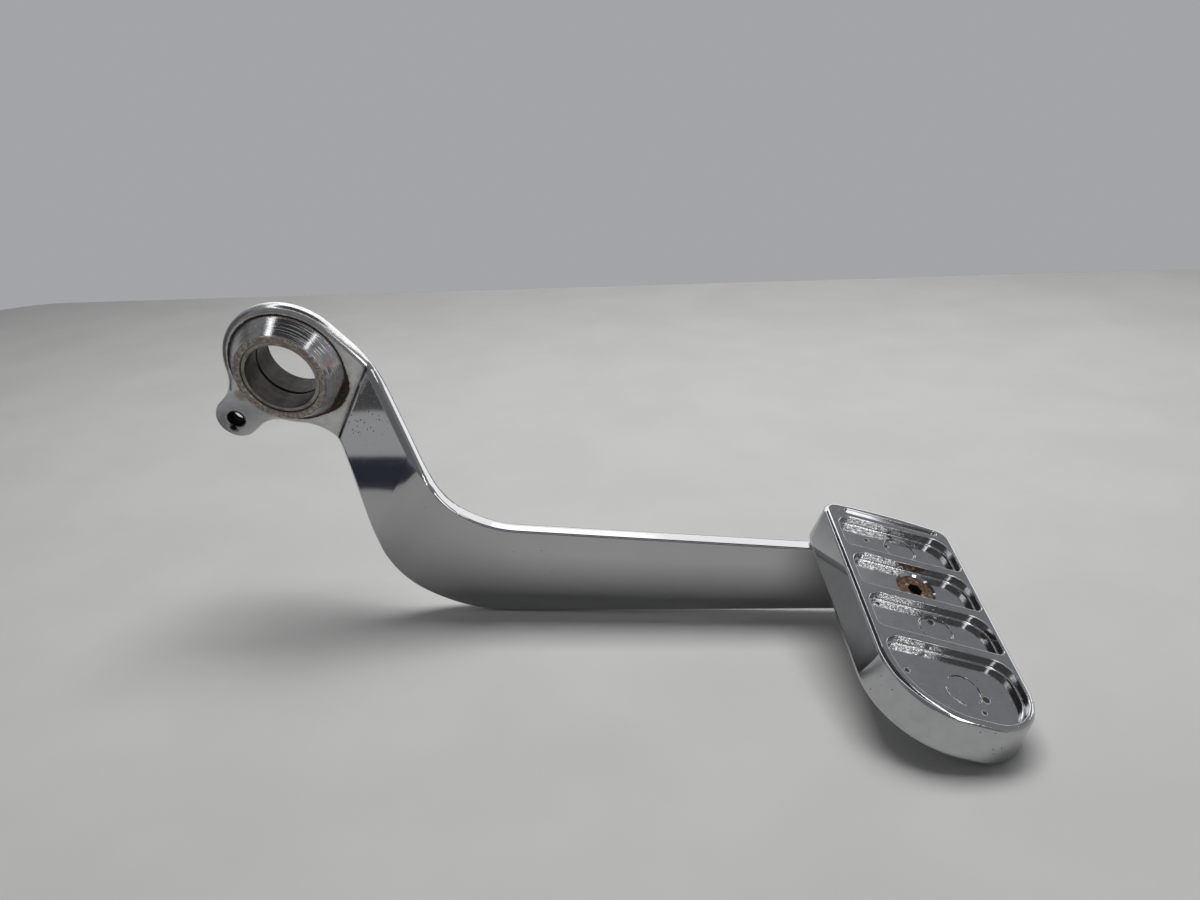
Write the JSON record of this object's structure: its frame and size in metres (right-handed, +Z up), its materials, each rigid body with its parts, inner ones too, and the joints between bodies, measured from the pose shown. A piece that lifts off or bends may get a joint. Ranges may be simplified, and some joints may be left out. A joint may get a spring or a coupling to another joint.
{
  "type": "rear brake pedal",
  "caption": "Chromed motorbike rear brake pedal: a bushed pivot eye, a flat joggled arm and a recessed foot pad held by a countersunk screw.",
  "frame": {"origin": "centre of the pivot bore", "axes": "Y along the pivot axis with outboard towards -Y, +X from the pivot towards the foot pad, +Z up"},
  "size_m": [0.2412, 0.0987, 0.105],
  "materials": {
    "chromed_steel": "polished with fine scratches and small pits",
    "turned_steel": "turned rings, rusty at the end face and the base",
    "bush_steel": "worn dark grey",
    "chromed_casting": "polished, corroded in the recess walls",
    "rusty_screw": "rusty"
  },
  "bodies": {
    "root": {"pedal_lever": "chromed_steel", "pivot_sleeve": "turned_steel", "outer_bush": "bush_steel", "inner_bush": "bush_steel", "foot_pad": "chromed_casting", "pad_screw": "rusty_screw"}
  },
  "joints": []
}
